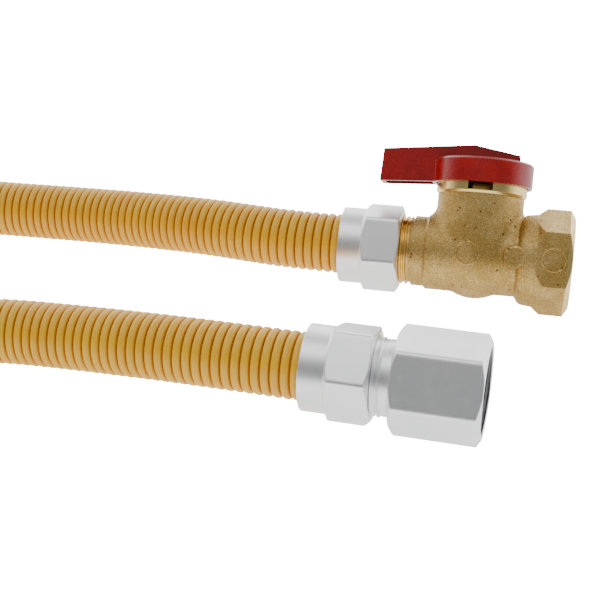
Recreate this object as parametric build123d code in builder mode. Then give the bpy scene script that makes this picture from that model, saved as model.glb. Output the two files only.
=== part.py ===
"""Quarter-turn gas valve fitted to its flexible gas connector.

Millimetres, +Z up. The origin is the centre of the valve's inlet mouth, +X points out of
that mouth along the pipe axis, and the assembly lies on a floor half a valve hexagon below
the origin. The valve rests on a flat of its hexagon, so its stem leans back from the
vertical. The hose runs off to -X, loops round on the floor and comes back on the -Y side,
where its other end carries a female pipe adapter.
"""

import os
from math import cos, pi, radians, sin, tan

from build123d import *

os.makedirs("parts", exist_ok=True)

# ---------------------------------------------------------------- driving dimensions
# Clearances
press_gap = 0.05          # between pieces that are assembled and never move
running_gap = 0.05        # between a turning piece and its bore
free_gap = 0.3            # between pieces that pass each other without touching
overlap = 0.5             # how far cutting tools and joined solids run past a face

# Valve body, along the pipe: distances from the stem's axis
lean = 30.0               # stem, back from the vertical
mouth_x = 32.5            # inlet mouth
hex_length = 12.0
hex_af = 31.5             # across flats
hex_front_r = 15.4        # where the front chamfer meets the mouth's face
hex_back_r = 16.2         # where the rear taper starts
hex_back_taper = 2.6
hex_front_taper = 1.7
ring_length = 5.0         # round ring behind the hexagon
ring_r = 15.4
barrel_r = 12.95
barrel_end = 17.2         # outlet side, where the barrel steps down
shoulder_r = 12.1
shoulder_length = 4.2
barrel_chamfer = 0.8
ring_run_out = 1.6        # cone between the barrel and the ring behind the hexagon
ring_taper = 0.6
pipe_bore_r = 12.0        # 3/4-14 pipe thread, at its bored diameter
pipe_thread_length = 15.0
pipe_mouth_r = 13.3
gas_bore_r = 5.6

# Valve body, along the stem: heights above the pipe's axis
neck_r = 14.8
neck_top = 20.2
rim_r = 15.5
rim_bottom = 21.2
rim_top = 26.0
recess_r = 12.4
recess_floor = 20.6
notch_width = 8.2
blend_r = 4.0             # forged blends between neck, belly and barrel

# 45 degree flare end, 15/16-16 thread, for a 5/8 inch tube
flare_thread_r = 11.9
flare_thread_length = 15.0
adapter_flare_thread_length = 14.1
flare_nose = 3.6          # length of the cone in front of the thread
flare_nose_r = 7.0
flare_thread_chamfer = 0.6

# Flare nut
nut_af = 27.0
nut_hex_length = 13.0
nut_collar_length = 7.9
nut_collar_r = 13.15
nut_hose_gap = 0.4        # between the collar's bore and the hose
nut_on_thread = 10.8      # length of thread inside the nut
nut_chamfer_length = 1.2  # chamfers over the nut's corners
nut_front_rim = 0.5       # how far the front chamfer goes in past the flats
nut_back_rim = 0.2
nut_thread_chamfer = 0.7
nut_turn_valve = 7.0      # how far each nut happens to be turned from a flat down
nut_turn_adapter = 19.5

# Flared tube end and hose
flare_wall = 0.8
flare_lip = 0.6           # how far the flare stops short of the nose's root
tube_end_r = 8.3
hose_r = 10.4
hose_bore_r = 7.0
hose_in_collar = 3.0

# Ball, seats and retainer
ball_r = 9.8
chamber_r = 10.4
seat_outer = 9.0          # far face of each seat, from the stem's axis
seat_inner = 5.9
seat_bore_gap = 0.2
ball_gap = 0.15
retainer_length = 5.0
retainer_r = 11.0
retainer_bore_r = 6.0
retainer_slot_width = 2.5
retainer_slot_depth = 1.6
retainer_flange = 1.2     # in front of its ring's groove
ring_room = 0.3           # a groove is this much wider than its ring
retainer_ring_r = 0.65
slot_width = 4.0          # slot in the ball for the stem's tang
slot_floor = 7.4
tang_gap = 0.1            # each side of the tang, and under it

# Stem and gland
stem_r = 4.5
collar_r = 6.2
collar_bottom = 10.9
collar_top = 12.6
washer_thickness = 0.7
tang_length = 9.0
stem_ring_heights = (14.9, 17.0)
stem_ring_r = 0.6
gland_r = 6.6
gland_bottom = 18.3
packing_thickness = 1.7
gland_nut_af = 15.4
gland_nut_height = 4.6
gland_nut_turn = 11.0     # how far the nut happens to be turned
square_af = 6.4
square_bottom = 25.4
square_top = 31.2

# Handle
disc_r = 17.05
disc_top = 32.3
disc_chamfer = 0.7
skirt_bottom = 24.0
skirt_wall = 1.25
disc_wall = 1.8
hub_r = 6.4
hub_bottom = 25.8
bar_width = 11.0
bar_wall = 1.6
bar_tip = -35.0           # tip of the lever at its foot, from the stem
bar_tip_bottom = 23.0
bar_tip_top = 34.1
bar_tip_lean = 0.5
bar_peak = -3.5
bar_peak_top = 37.4
bar_tail = 12.1
bar_tail_top = 34.8
bar_root_r = 2.0          # where the bar runs into the disc
web_thickness = 1.3       # web that the handle's screw pulls on
screw_recess_r = 4.2
screw_r = 2.0
screw_head_r = 3.6
screw_head_height = 2.4
screw_length = 12.0
screw_hole_gap = 0.2
screw_hole_depth = 1.0    # of the stem's hole past the screw's end
screw_head_chamfer = 0.5
spring_washer_thickness = 0.8
spring_washer_r = 3.8
spring_washer_bore_r = 2.15
spring_washer_split = 16.0
screw_slot_width = 1.0
screw_slot_depth = 1.1
stop_inner_r = 10.4       # quarter-turn stops inside the rim
stop_height = 4.6
stop_angle = 20.0
lug_half_angle = 12.0
lug_bottom = 22.0
turn = 90.0
stop_clear_angle = 0.8

# Adapter at the far end of the hose
adapter_af = 29.0
adapter_hex_length = 26.8
adapter_neck_length = 2.4
adapter_neck_r = 11.5
adapter_bore_r = 12.0
adapter_mouth_r = 12.9
adapter_thread_length = 17.0
adapter_end_r = 14.3      # where the rounded ends of the hexagon meet its end faces
adapter_round = 1.5
adapter_bore_run = 2.0    # cone between the thread and the gas bore
adapter_mouth = (-22.4, -82.2)     # x and y of the centre of its mouth
adapter_heading = -3.0             # of its axis, in the floor's plane

# ---------------------------------------------------------------- places worked out
floor_z = -hex_af / 2
stem_dir = Vector(0, sin(radians(lean)), cos(radians(lean)))
back_dir = Vector(0, cos(radians(lean)), -sin(radians(lean)))
stem_foot = Vector(-mouth_x, 0, 0)
mid = Plane(origin=stem_foot, x_dir=(1, 0, 0), z_dir=-back_dir)       # x pipe, y stem
side = Plane(origin=stem_foot, x_dir=back_dir, z_dir=(1, 0, 0))       # x back, y stem
level = Plane(origin=stem_foot, x_dir=(1, 0, 0), z_dir=stem_dir)      # seen along the stem
pipe_axis = Axis(stem_foot, (1, 0, 0))
stem_axis = Axis(stem_foot, stem_dir)

adapter_z = floor_z + adapter_af / 2
adapter_dir = Vector(cos(radians(adapter_heading)), sin(radians(adapter_heading)), 0)
adapter_centre = Vector(adapter_mouth[0], adapter_mouth[1], adapter_z)
adapter_mid = Plane(origin=adapter_centre, x_dir=adapter_dir, z_dir=(0, 0, 1))
adapter_axis = Axis(adapter_centre, adapter_dir)

hex_back = mouth_x - hex_length
ring_back = hex_back - ring_length
thread_start = -(barrel_end + shoulder_length)
flare_tip = thread_start - flare_thread_length - flare_nose
adapter_thread_start = -(adapter_hex_length + adapter_neck_length)
adapter_flare_tip = adapter_thread_start - adapter_flare_thread_length - flare_nose
nut_length = nut_hex_length + nut_collar_length
nut_bore_r = flare_thread_r + press_gap
cone_shift = press_gap * 2 ** 0.5                  # gap across a 45 degree cone, along the radius
flare_shift = cone_shift + flare_wall * 2 ** 0.5
seat_r = chamber_r - press_gap
retainer_start = seat_outer + press_gap
washer_seat = collar_top + washer_thickness + 2 * running_gap
stem_bore_r = stem_r + running_gap
packing_top = gland_bottom + press_gap + packing_thickness
disc_ceiling = disc_top - disc_wall
square_hole_top = square_top + press_gap
web_top = square_hole_top + web_thickness
screw_head_bottom = web_top + spring_washer_thickness

# The hose's route, chosen by hand: out of the valve's nut, down to the floor, round the
# loop and back up into the adapter's nut
hose_route = [
    (-76.0, 0.0, 0.0),
    (-99.0, 0.0, 0.0),
    (-127.0, 5.4, -0.5),
    (-160.0, 12.6, -3.5),
    (-193.0, 16.0, -5.35),
    (-227.0, 15.0, -5.35),
    (-262.0, 27.0, -5.35),
    (-299.0, 50.0, -5.35),
    (-358.0, 66.0, -5.35),
    (-415.0, 45.0, -5.35),
    (-449.0, -5.0, -5.35),
    (-449.0, -70.0, -5.35),
    (-412.0, -124.0, -5.35),
    (-352.0, -144.0, -5.35),
    (-291.0, -123.0, -5.35),
    (-248.0, -92.0, -5.35),
    (-210.0, -75.5, -5.35),
    (-176.0, -70.8, -5.3),
    (-148.0, -72.4, -4.1),
    (-121.0, -75.6, -2.3),
    (-97.0, -78.29, -1.25),
    (-72.73, -79.56, -1.25),
]


def square_to(base, distance):
    """The plane square to a pipe axis, at a distance along it; its y points up."""
    direction = base.x_dir
    return Plane(
        origin=base.origin + direction * distance,
        x_dir=Vector(0, 0, 1).cross(direction),
        z_dir=direction,
    )


def ring_sector(inner, outer, start, end):
    """Outline of a piece of a flat ring between two angles."""
    CenterArc((0, 0), outer, start, end - start)
    CenterArc((0, 0), inner, start, end - start)
    for angle in (start, end):
        c, s = cos(radians(angle)), sin(radians(angle))
        Line((inner * c, inner * s), (outer * c, outer * s))


def flare_end(base, axis, tip, length):
    """Threaded 45 degree flare end, up to where the thread starts."""
    root = tip + flare_nose
    with BuildPart() as end:
        with BuildSketch(base):
            with BuildLine():
                Polyline(
                    (tip, 0),
                    (tip, flare_nose_r),
                    (root, flare_nose_r + flare_nose),
                    (root, flare_thread_r - flare_thread_chamfer),
                    (root + flare_thread_chamfer, flare_thread_r),
                    (root + length, flare_thread_r),
                    (root + length, 0),
                    (tip, 0),
                )
            make_face()
        revolve(axis=axis)
    return end.part


def flare_nut(base, axis, tip, turned):
    """Long flare nut: a hexagon over the thread and a round collar over the hose's end."""
    face = tip + flare_nose + nut_on_thread
    corner_r = nut_af / 2 / cos(radians(30)) + overlap / 5
    back = face - nut_hex_length
    with BuildPart() as nut:
        with BuildSketch(square_to(base, back)):
            RegularPolygon(nut_af / 2, 6, major_radius=False, rotation=-turned)
        extrude(amount=nut_hex_length)
        with BuildSketch(base):
            with BuildLine():
                Polyline(
                    (back, 0),
                    (back, nut_af / 2 - nut_back_rim),
                    (back + nut_chamfer_length, corner_r),
                    (face - nut_chamfer_length, corner_r),
                    (face, nut_af / 2 - nut_front_rim),
                    (face, 0),
                    (back, 0),
                )
            make_face()
        revolve(axis=axis, mode=Mode.INTERSECT)
        with BuildSketch(square_to(base, face - nut_length)):
            Circle(nut_collar_r)
        extrude(amount=nut_collar_length)
        with BuildSketch(base):
            with BuildLine():
                Polyline(
                    (face, 0),
                    (face, nut_bore_r + nut_thread_chamfer),
                    (face - nut_thread_chamfer, nut_bore_r),
                    (tip + nut_bore_r - flare_nose_r - flare_shift - cone_shift, nut_bore_r),
                    (tip + tube_end_r + press_gap - flare_nose_r - flare_shift - cone_shift,
                     tube_end_r + press_gap),
                    (face - nut_length + hose_in_collar + press_gap, tube_end_r + press_gap),
                    (face - nut_length + hose_in_collar + press_gap, hose_r + nut_hose_gap),
                    (face - nut_length, hose_r + nut_hose_gap),
                    (face - nut_length, 0),
                    (face, 0),
                )
            make_face()
        revolve(axis=axis, mode=Mode.SUBTRACT)
    return nut


def tube_end(base, axis, tip):
    """Flared end of the hose's metal tube, clamped between the nut and the flare nose."""
    start = tip + flare_nose + nut_on_thread - nut_length + hose_in_collar
    lip = tip + flare_nose - flare_lip
    with BuildPart() as tube:
        with BuildSketch(base):
            with BuildLine():
                Polyline(
                    (start, hose_bore_r),
                    (start, tube_end_r),
                    (tip + tube_end_r - flare_nose_r - flare_shift, tube_end_r),
                    (lip, lip - tip + flare_nose_r + flare_shift),
                    (lip, lip - tip + flare_nose_r + cone_shift),
                    (tip + hose_bore_r - flare_nose_r - cone_shift, hose_bore_r),
                    (start, hose_bore_r),
                )
            make_face()
        revolve(axis=axis)
    return tube


# ---------------------------------------------------------------- valve body
valve_flare = flare_end(mid, pipe_axis, flare_tip, flare_thread_length)
with BuildPart() as valve_forging:
    # Barrel and outlet shoulder, turned about the pipe's axis
    with BuildSketch(mid):
        with BuildLine():
            Polyline(
                (thread_start, 0),
                (thread_start, shoulder_r),
                (-barrel_end, shoulder_r),
                (-barrel_end + barrel_chamfer, barrel_r),
                (hex_back, barrel_r),
                (hex_back, 0),
                (thread_start, 0),
            )
        make_face()
    revolve(axis=pipe_axis)
    # Neck and belly: a round-bottomed cup about the stem's axis
    with BuildSketch(side):
        with BuildLine():
            Polyline((0, -neck_r), (0, neck_top), (neck_r, neck_top), (neck_r, 0))
            RadiusArc((neck_r, 0), (0, -neck_r), neck_r)
        make_face()
    revolve(axis=stem_axis)
    crotch = [
        edge
        for edge in valve_forging.edges()
        if edge.geom_type not in (GeomType.CIRCLE, GeomType.LINE)
    ]
    fillet(crotch, blend_r)
    # Tapered ring behind the hexagon
    with BuildSketch(mid):
        with BuildLine():
            Polyline(
                (ring_back - ring_run_out, 0),
                (ring_back - ring_run_out, barrel_r - 0.3),
                (ring_back - 0.2, ring_r - ring_taper),
                (ring_back + 0.8, ring_r),
                (hex_back + overlap, ring_r + ring_taper),
                (hex_back + overlap, 0),
                (ring_back - ring_run_out, 0),
            )
        make_face()
    revolve(axis=pipe_axis)
    # Machined rim for the handle
    with BuildSketch(side):
        with BuildLine():
            Polyline(
                (0, neck_top - 2),
                (0, rim_top),
                (rim_r, rim_top),
                (rim_r, rim_bottom),
                (neck_r - 0.2, neck_top),
                (neck_r - 0.2, neck_top - 2),
                (0, neck_top - 2),
            )
        make_face()
    revolve(axis=stem_axis)
    add(valve_flare)

with BuildPart() as valve_hexagon:
    # Hexagon, its corners turned off in front and tapered behind
    with BuildSketch(square_to(mid, hex_back)):
        RegularPolygon(hex_af / 2, 6, major_radius=False)
    extrude(amount=hex_length)
    with BuildSketch(mid):
        with BuildLine():
            corner_r = hex_af / 2 / cos(radians(30)) + overlap / 5
            Polyline(
                (hex_back, 0),
                (hex_back, hex_back_r),
                (hex_back + hex_back_taper, corner_r),
                (mouth_x - hex_front_taper, corner_r),
                (mouth_x, hex_front_r),
                (mouth_x, 0),
                (hex_back, 0),
            )
        make_face()
    revolve(axis=pipe_axis, mode=Mode.INTERSECT)

with BuildPart() as valve_body:
    add(valve_forging.part)
    add(valve_hexagon.part)
    # Bores along the pipe: inlet thread, retainer, ball chamber, outlet
    with BuildSketch(mid):
        with BuildLine():
            Polyline(
                (mouth_x, 0),
                (mouth_x, pipe_mouth_r),
                (mouth_x - pipe_mouth_r + pipe_bore_r, pipe_bore_r),
                (mouth_x - pipe_thread_length, pipe_bore_r),
                (mouth_x - pipe_thread_length, retainer_r + press_gap),
                (seat_outer, retainer_r + press_gap),
                (seat_outer, chamber_r),
                (-seat_outer - press_gap, chamber_r),
                (-seat_outer - press_gap, gas_bore_r),
                (flare_tip, gas_bore_r),
                (flare_tip, 0),
                (mouth_x, 0),
            )
        make_face()
    revolve(axis=pipe_axis, mode=Mode.SUBTRACT)
    # Bores along the stem: collar, stem, gland and the recess inside the rim
    with BuildSketch(side):
        with BuildLine():
            Polyline(
                (0, 0),
                (collar_r + running_gap, 0),
                (collar_r + running_gap, washer_seat),
                (stem_bore_r, washer_seat),
                (stem_bore_r, gland_bottom),
                (gland_r, gland_bottom),
                (gland_r, recess_floor),
                (recess_r, recess_floor),
                (recess_r, rim_top),
                (0, rim_top),
                (0, 0),
            )
        make_face()
    revolve(axis=stem_axis, mode=Mode.SUBTRACT)
    # Quarter-turn stops inside the rim, one at each end of the lug's travel
    for start, end in (
        (180 - turn - lug_half_angle - stop_clear_angle - stop_angle,
         180 - turn - lug_half_angle - stop_clear_angle),
        (180 + lug_half_angle + stop_clear_angle,
         180 + lug_half_angle + stop_clear_angle + stop_angle),
    ):
        with BuildSketch(level.offset(recess_floor)):
            with BuildLine():
                ring_sector(stop_inner_r, recess_r + 0.2, start, end)
            make_face()
        extrude(amount=stop_height)
    # Notch in the front of the rim
    with BuildSketch(mid.offset(stop_inner_r - 1)):
        with BuildLine():
            Polyline(
                (-notch_width / 2, rim_bottom + 0.2),
                (notch_width / 2, rim_bottom + 0.2),
                (notch_width / 2, rim_top),
                (-notch_width / 2, rim_top),
                (-notch_width / 2, rim_bottom + 0.2),
            )
        make_face()
    extrude(amount=rim_r, mode=Mode.SUBTRACT)

valve_body.part.label = "valve_body"
export_step(valve_body.part, "parts/valve_body.step")

# ---------------------------------------------------------------- ball, seats, retainer
with BuildPart() as ball:
    with BuildSketch(side):
        with BuildLine():
            RadiusArc((0, ball_r), (0, -ball_r), ball_r)
            Line((0, -ball_r), (0, ball_r))
        make_face()
    revolve(axis=stem_axis)
    with BuildSketch(square_to(mid, -ball_r)):
        Circle(gas_bore_r)
    extrude(amount=2 * ball_r, mode=Mode.SUBTRACT)
    with BuildSketch(level.offset(slot_floor)):
        Rectangle(slot_width, 2 * ball_r)
    extrude(amount=ball_r, mode=Mode.SUBTRACT)
ball.part.label = "ball"
export_step(ball.part, "parts/ball.step")


def ball_seat(direction):
    """Soft ring between the ball and one end of the chamber, cut to the ball's curve."""
    inner, outer = seat_inner * direction, seat_outer * direction
    face_r = ball_r + ball_gap
    bore_r = gas_bore_r + seat_bore_gap
    with BuildPart() as seat:
        with BuildSketch(mid):
            with BuildLine():
                start = (inner, (face_r**2 - seat_inner**2) ** 0.5)
                end = ((face_r**2 - bore_r**2) ** 0.5 * direction, bore_r)
                RadiusArc(start, end, face_r * direction)
                Polyline(end, (outer, bore_r), (outer, seat_r), (inner, seat_r), start)
            make_face()
        revolve(axis=pipe_axis)
    return seat


seat_outlet = ball_seat(-1)
seat_outlet.part.label = "seat_outlet"
export_step(seat_outlet.part, "parts/seat_outlet.step")

seat_inlet = ball_seat(1)
seat_inlet.part.label = "seat_inlet"
export_step(seat_inlet.part, "parts/seat_inlet.step")

groove_start = retainer_start + retainer_flange
groove_width = 2 * retainer_ring_r + ring_room
with BuildPart() as seat_retainer:
    with BuildSketch(mid):
        with BuildLine():
            Polyline(
                (retainer_start, retainer_bore_r),
                (retainer_start, retainer_r),
                (groove_start, retainer_r),
                (groove_start, retainer_r - 2 * retainer_ring_r),
                (groove_start + groove_width, retainer_r - 2 * retainer_ring_r),
                (groove_start + groove_width, retainer_r),
                (retainer_start + retainer_length, retainer_r),
                (retainer_start + retainer_length, retainer_bore_r),
                (retainer_start, retainer_bore_r),
            )
        make_face()
    revolve(axis=pipe_axis)
    with BuildSketch(square_to(mid, retainer_start + retainer_length - retainer_slot_depth)):
        Rectangle(2 * (retainer_r + overlap), retainer_slot_width)
    extrude(amount=retainer_slot_depth, mode=Mode.SUBTRACT)
seat_retainer.part.label = "seat_retainer"
export_step(seat_retainer.part, "parts/seat_retainer.step")


def o_ring(base, axis, distance, centre_r, section_r):
    """Round-section ring about an axis; distance and radius lie on the base plane."""
    with BuildPart() as ring:
        with BuildSketch(base):
            with Locations((distance, centre_r)):
                Circle(section_r)
        revolve(axis=axis)
    return ring


retainer_o_ring = o_ring(
    mid,
    pipe_axis,
    groove_start + groove_width / 2,
    retainer_r - retainer_ring_r,
    retainer_ring_r - press_gap / 2,
)
retainer_o_ring.part.label = "retainer_o_ring"
export_step(retainer_o_ring.part, "parts/retainer_o_ring.step")

# ---------------------------------------------------------------- stem and gland
ring_groove_r = stem_bore_r - 2 * stem_ring_r - press_gap
with BuildPart() as stem:
    with BuildSketch(side):
        with BuildLine():
            Polyline(
                (0, collar_bottom),
                (collar_r, collar_bottom),
                (collar_r, collar_top),
                (stem_r, collar_top),
                (stem_r, square_bottom),
                (0, square_bottom),
                (0, collar_bottom),
            )
        make_face()
        for height in stem_ring_heights:
            with Locations((stem_r, height)):
                Rectangle(
                    2 * (stem_r - ring_groove_r), 2 * stem_ring_r + ring_room, mode=Mode.SUBTRACT
                )
    revolve(axis=stem_axis)
    with BuildSketch(level.offset(square_bottom)):
        Rectangle(square_af, square_af)
    extrude(amount=square_top - square_bottom)
    with BuildSketch(level.offset(slot_floor + tang_gap)):
        Rectangle(slot_width - 2 * tang_gap, tang_length)
    extrude(amount=collar_bottom - slot_floor - tang_gap)
    with BuildSketch(level.offset(screw_head_bottom - screw_length - screw_hole_depth)):
        Circle(screw_r + press_gap)
    extrude(amount=screw_length, mode=Mode.SUBTRACT)
stem.part.label = "stem"
export_step(stem.part, "parts/stem.step")

with BuildPart() as stem_o_rings:
    for height in stem_ring_heights:
        ring = o_ring(side, stem_axis, ring_groove_r + stem_ring_r + press_gap / 2,
                      height, stem_ring_r)
        add(ring.part)
stem_o_rings.part.label = "stem_o_rings"
export_step(stem_o_rings.part, "parts/stem_o_rings.step")


def flat_ring(bottom, thickness, inner, outer):
    """Flat washer about the stem's axis."""
    with BuildPart() as washer:
        with BuildSketch(level.offset(bottom)):
            Circle(outer)
            Circle(inner, mode=Mode.SUBTRACT)
        extrude(amount=thickness)
    return washer


thrust_washer = flat_ring(collar_top + running_gap, washer_thickness, stem_bore_r, collar_r)
thrust_washer.part.label = "thrust_washer"
export_step(thrust_washer.part, "parts/thrust_washer.step")

gland_packing = flat_ring(
    gland_bottom + press_gap, packing_thickness, stem_bore_r, gland_r - press_gap
)
gland_packing.part.label = "gland_packing"
export_step(gland_packing.part, "parts/gland_packing.step")

with BuildPart() as gland_nut:
    with BuildSketch(level.offset(packing_top + press_gap)):
        Circle(gland_r - press_gap)
    extrude(amount=recess_floor - packing_top)
    with BuildSketch(level.offset(recess_floor + press_gap)):
        RegularPolygon(gland_nut_af / 2, 6, major_radius=False, rotation=gland_nut_turn)
    extrude(amount=gland_nut_height - press_gap)
    with BuildSketch(level.offset(packing_top)):
        Circle(stem_bore_r + press_gap)
    extrude(amount=2 * gland_nut_height, mode=Mode.SUBTRACT)
gland_nut.part.label = "gland_nut"
export_step(gland_nut.part, "parts/gland_nut.step")

# ---------------------------------------------------------------- handle
with BuildPart() as handle:
    with BuildSketch(side):
        with BuildLine():
            Polyline(
                (0, skirt_bottom),
                (disc_r, skirt_bottom),
                (disc_r, disc_top - disc_chamfer),
            )
            Line((disc_r, disc_top - disc_chamfer), (disc_r - disc_chamfer, disc_top))
            Polyline((disc_r - disc_chamfer, disc_top), (0, disc_top), (0, skirt_bottom))
        make_face()
    revolve(axis=stem_axis)
    with BuildSketch(mid):
        with BuildLine():
            Polyline(
                (bar_tip, bar_tip_bottom),
                (bar_tip + bar_tip_lean, bar_tip_top),
                (bar_peak, bar_peak_top),
                (bar_tail, bar_tail_top),
                (bar_tail, skirt_bottom),
                (-disc_r, skirt_bottom),
                (bar_tip, bar_tip_bottom),
            )
        make_face()
    extrude(amount=bar_width / 2, both=True)
    # Rounded roots where the bar's sides run into the disc
    with BuildSketch(level.offset(skirt_bottom)) as plan:
        Circle(disc_r)
        with Locations((-disc_r, 0)):
            Rectangle(4 * bar_root_r, bar_width)
        corner_x = -((disc_r**2 - bar_width**2 / 4) ** 0.5)
        fillet([v for v in plan.vertices() if abs(v.X - corner_x) < 0.01], bar_root_r)
    extrude(amount=disc_top - disc_chamfer - skirt_bottom)
    # Hollow underside of the bar and of the disc
    with BuildSketch(mid):
        with BuildLine():
            top_slope = (bar_peak_top - bar_tip_top) / (bar_peak - bar_tip)
            Polyline(
                (bar_tip + bar_wall, bar_tip_bottom - overlap),
                (bar_tip + bar_wall + bar_tip_lean, bar_tip_top - bar_wall),
                (-disc_r, bar_tip_top - bar_wall + top_slope * (-disc_r - bar_tip)),
                (-disc_r, bar_tip_bottom - overlap),
                (bar_tip + bar_wall, bar_tip_bottom - overlap),
            )
        make_face()
    extrude(amount=bar_width / 2 - bar_wall, both=True, mode=Mode.SUBTRACT)
    with BuildSketch(side):
        with BuildLine():
            Polyline(
                (0, skirt_bottom),
                (disc_r - skirt_wall, skirt_bottom),
                (disc_r - skirt_wall, disc_ceiling),
                (0, disc_ceiling),
                (0, skirt_bottom),
            )
        make_face()
    revolve(axis=stem_axis, mode=Mode.SUBTRACT)
    # Hub with its square hole, and the lug that meets the stops
    with BuildSketch(level.offset(hub_bottom)):
        Circle(hub_r)
    extrude(amount=disc_ceiling - hub_bottom + overlap)
    with BuildSketch(level.offset(lug_bottom)):
        with BuildLine():
            ring_sector(stop_inner_r, recess_r - free_gap,
                        180 - lug_half_angle, 180 + lug_half_angle)
        make_face()
    extrude(amount=disc_ceiling - lug_bottom + overlap)
    with BuildSketch(level.offset(hub_bottom - overlap)):
        Rectangle(square_af + 2 * press_gap, square_af + 2 * press_gap)
    extrude(amount=square_hole_top - hub_bottom + overlap, mode=Mode.SUBTRACT)
    with BuildSketch(level.offset(square_hole_top - 0.1)):
        Circle(screw_r + screw_hole_gap)
    extrude(amount=bar_peak_top - square_hole_top, mode=Mode.SUBTRACT)
    with BuildSketch(level.offset(web_top)):
        Circle(screw_recess_r)
    extrude(amount=bar_peak_top - web_top + overlap, mode=Mode.SUBTRACT)
handle.part.label = "handle"
export_step(handle.part, "parts/handle.step")

with BuildPart() as spring_washer:
    with BuildSketch(level.offset(web_top)):
        with BuildLine():
            ring_sector(spring_washer_bore_r, spring_washer_r,
                        spring_washer_split / 2, 360 - spring_washer_split / 2)
        make_face()
    extrude(amount=spring_washer_thickness)
spring_washer.part.label = "spring_washer"
export_step(spring_washer.part, "parts/spring_washer.step")

with BuildPart() as handle_screw:
    with BuildSketch(level.offset(screw_head_bottom - screw_length)):
        Circle(screw_r)
    extrude(amount=screw_length)
    with BuildSketch(level.offset(screw_head_bottom)):
        Circle(screw_head_r)
    extrude(amount=screw_head_height)
    chamfer(handle_screw.edges().filter_by(GeomType.CIRCLE).sort_by(stem_axis)[-1], screw_head_chamfer)
    with BuildSketch(level.offset(screw_head_bottom + screw_head_height - screw_slot_depth)):
        Rectangle(2 * (screw_head_r + overlap), screw_slot_width)
    extrude(amount=screw_slot_depth, mode=Mode.SUBTRACT)
handle_screw.part.label = "handle_screw"
export_step(handle_screw.part, "parts/handle_screw.step")

# ---------------------------------------------------------------- nuts and tube ends
flare_nut_valve = flare_nut(mid, pipe_axis, flare_tip, nut_turn_valve)
flare_nut_valve.part.label = "flare_nut_valve"
export_step(flare_nut_valve.part, "parts/flare_nut_valve.step")

tube_end_valve = tube_end(mid, pipe_axis, flare_tip)
tube_end_valve.part.label = "tube_end_valve"
export_step(tube_end_valve.part, "parts/tube_end_valve.step")

flare_nut_adapter = flare_nut(adapter_mid, adapter_axis, adapter_flare_tip, nut_turn_adapter)
flare_nut_adapter.part.label = "flare_nut_adapter"
export_step(flare_nut_adapter.part, "parts/flare_nut_adapter.step")

tube_end_adapter = tube_end(adapter_mid, adapter_axis, adapter_flare_tip)
tube_end_adapter.part.label = "tube_end_adapter"
export_step(tube_end_adapter.part, "parts/tube_end_adapter.step")

# ---------------------------------------------------------------- adapter
adapter_flare = flare_end(
    adapter_mid, adapter_axis, adapter_flare_tip, adapter_flare_thread_length
)
with BuildPart() as adapter:
    with BuildSketch(square_to(adapter_mid, -adapter_hex_length)):
        RegularPolygon(adapter_af / 2, 6, major_radius=False)
    extrude(amount=adapter_hex_length)
    with BuildSketch(adapter_mid):
        with BuildLine():
            corner_r = adapter_af / 2 / cos(radians(30)) + overlap / 5
            Polyline(
                (-adapter_hex_length, 0),
                (-adapter_hex_length, adapter_end_r),
                (-adapter_hex_length + adapter_round, corner_r),
                (-adapter_round, corner_r),
                (0, adapter_end_r),
                (0, 0),
                (-adapter_hex_length, 0),
            )
        make_face()
    revolve(axis=adapter_axis, mode=Mode.INTERSECT)
    with BuildSketch(square_to(adapter_mid, adapter_thread_start)):
        Circle(adapter_neck_r)
    extrude(amount=adapter_neck_length)
    add(adapter_flare)
    with BuildSketch(adapter_mid):
        with BuildLine():
            Polyline(
                (0, 0),
                (0, adapter_mouth_r),
                (adapter_bore_r - adapter_mouth_r, adapter_bore_r),
                (-adapter_thread_length, adapter_bore_r),
                (-adapter_thread_length - adapter_bore_run, gas_bore_r),
                (adapter_flare_tip, gas_bore_r),
                (adapter_flare_tip, 0),
                (0, 0),
            )
        make_face()
    revolve(axis=adapter_axis, mode=Mode.SUBTRACT)
adapter.part.label = "adapter"
export_step(adapter.part, "parts/adapter.step")

# ---------------------------------------------------------------- hose
points = [Vector(point) for point in hose_route]
runs = [b - a for a, b in zip(points, points[1:])]
radii = [
    0.45 * min(a.length, b.length) / tan(radians(a.get_angle(b)) / 2)
    for a, b in zip(runs, runs[1:])
]
with BuildPart() as hose:
    with BuildLine():
        route = FilletPolyline(*points, radius=radii)
    with BuildSketch(Plane(origin=points[0], z_dir=runs[0])):
        Circle(hose_r)
        Circle(hose_bore_r, mode=Mode.SUBTRACT)
    sweep(path=route)
hose.part.label = "hose"
export_step(hose.part, "parts/hose.step")

length = route.length
section = pi * (hose_r**2 - hose_bore_r**2)
print("hose radii", [round(radius, 1) for radius in radii])
print("hose runs", [round(run.length, 1) for run in runs])
print("hose length", round(length, 1), "volume / (section x length)",
      round(hose.part.volume / (section * length), 4))
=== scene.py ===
# %% [markdown]
# # Gas valve on its flexible gas connector
# A quarter-turn brass gas valve with a red lever, screwed onto one end of a yellow corrugated
# gas connector. Both ends lie side by side on a floor, and the connector makes one loop at
# the far left.
# Everything is in metres, in the frame of the CAD model: the origin is the centre of the
# valve's inlet mouth, +X points out of that mouth and +Z is up. The CAD nodes carry the
# inner pieces. The pieces that the eye reads first are made again here with more detail.

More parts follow.
